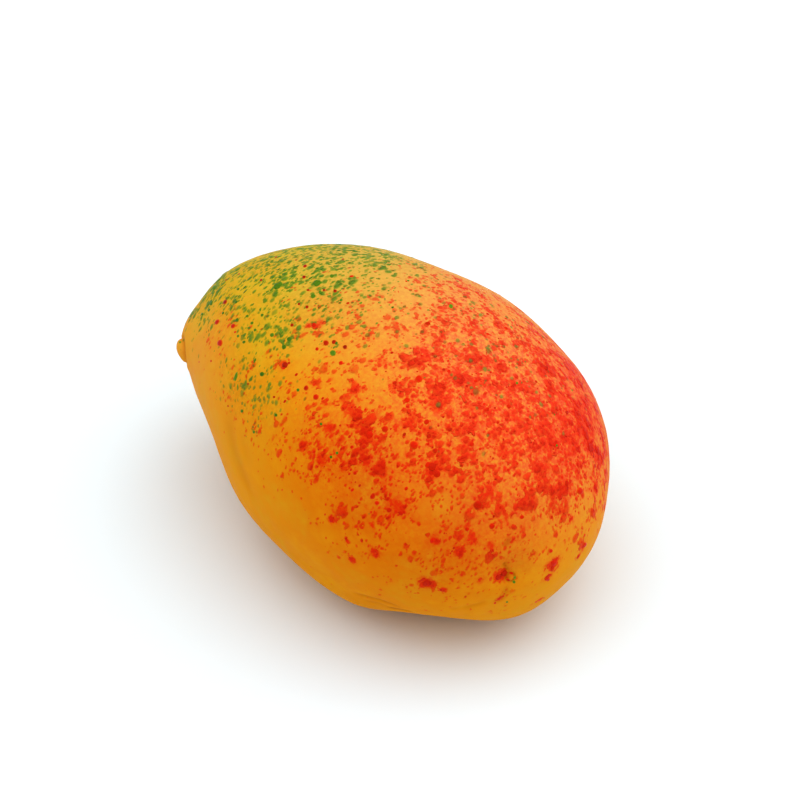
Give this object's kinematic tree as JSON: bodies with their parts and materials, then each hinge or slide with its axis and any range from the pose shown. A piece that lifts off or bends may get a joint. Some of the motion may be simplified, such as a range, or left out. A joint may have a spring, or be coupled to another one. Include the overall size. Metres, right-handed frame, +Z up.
{
  "type": "mango-shaped marzipan sweet",
  "caption": "Hand-moulded marzipan sweet in the shape of a small mango, painted yellow to red with green flecks, lying on its flat base.",
  "frame": {"origin": "middle of the bounding box's underside, on the flat base that the sweet lies on", "axes": "+X along the fruit toward the stem end, +Z up, -Y toward the belly, the side with the hollow under the beak"},
  "size_m": [0.06, 0.0418, 0.0364],
  "materials": {
    "painted_marzipan": "satin yellow-orange marzipan under a spatter of red and green food colour"
  },
  "bodies": {
    "root": {"marzipan_mango": "painted_marzipan"}
  },
  "joints": []
}
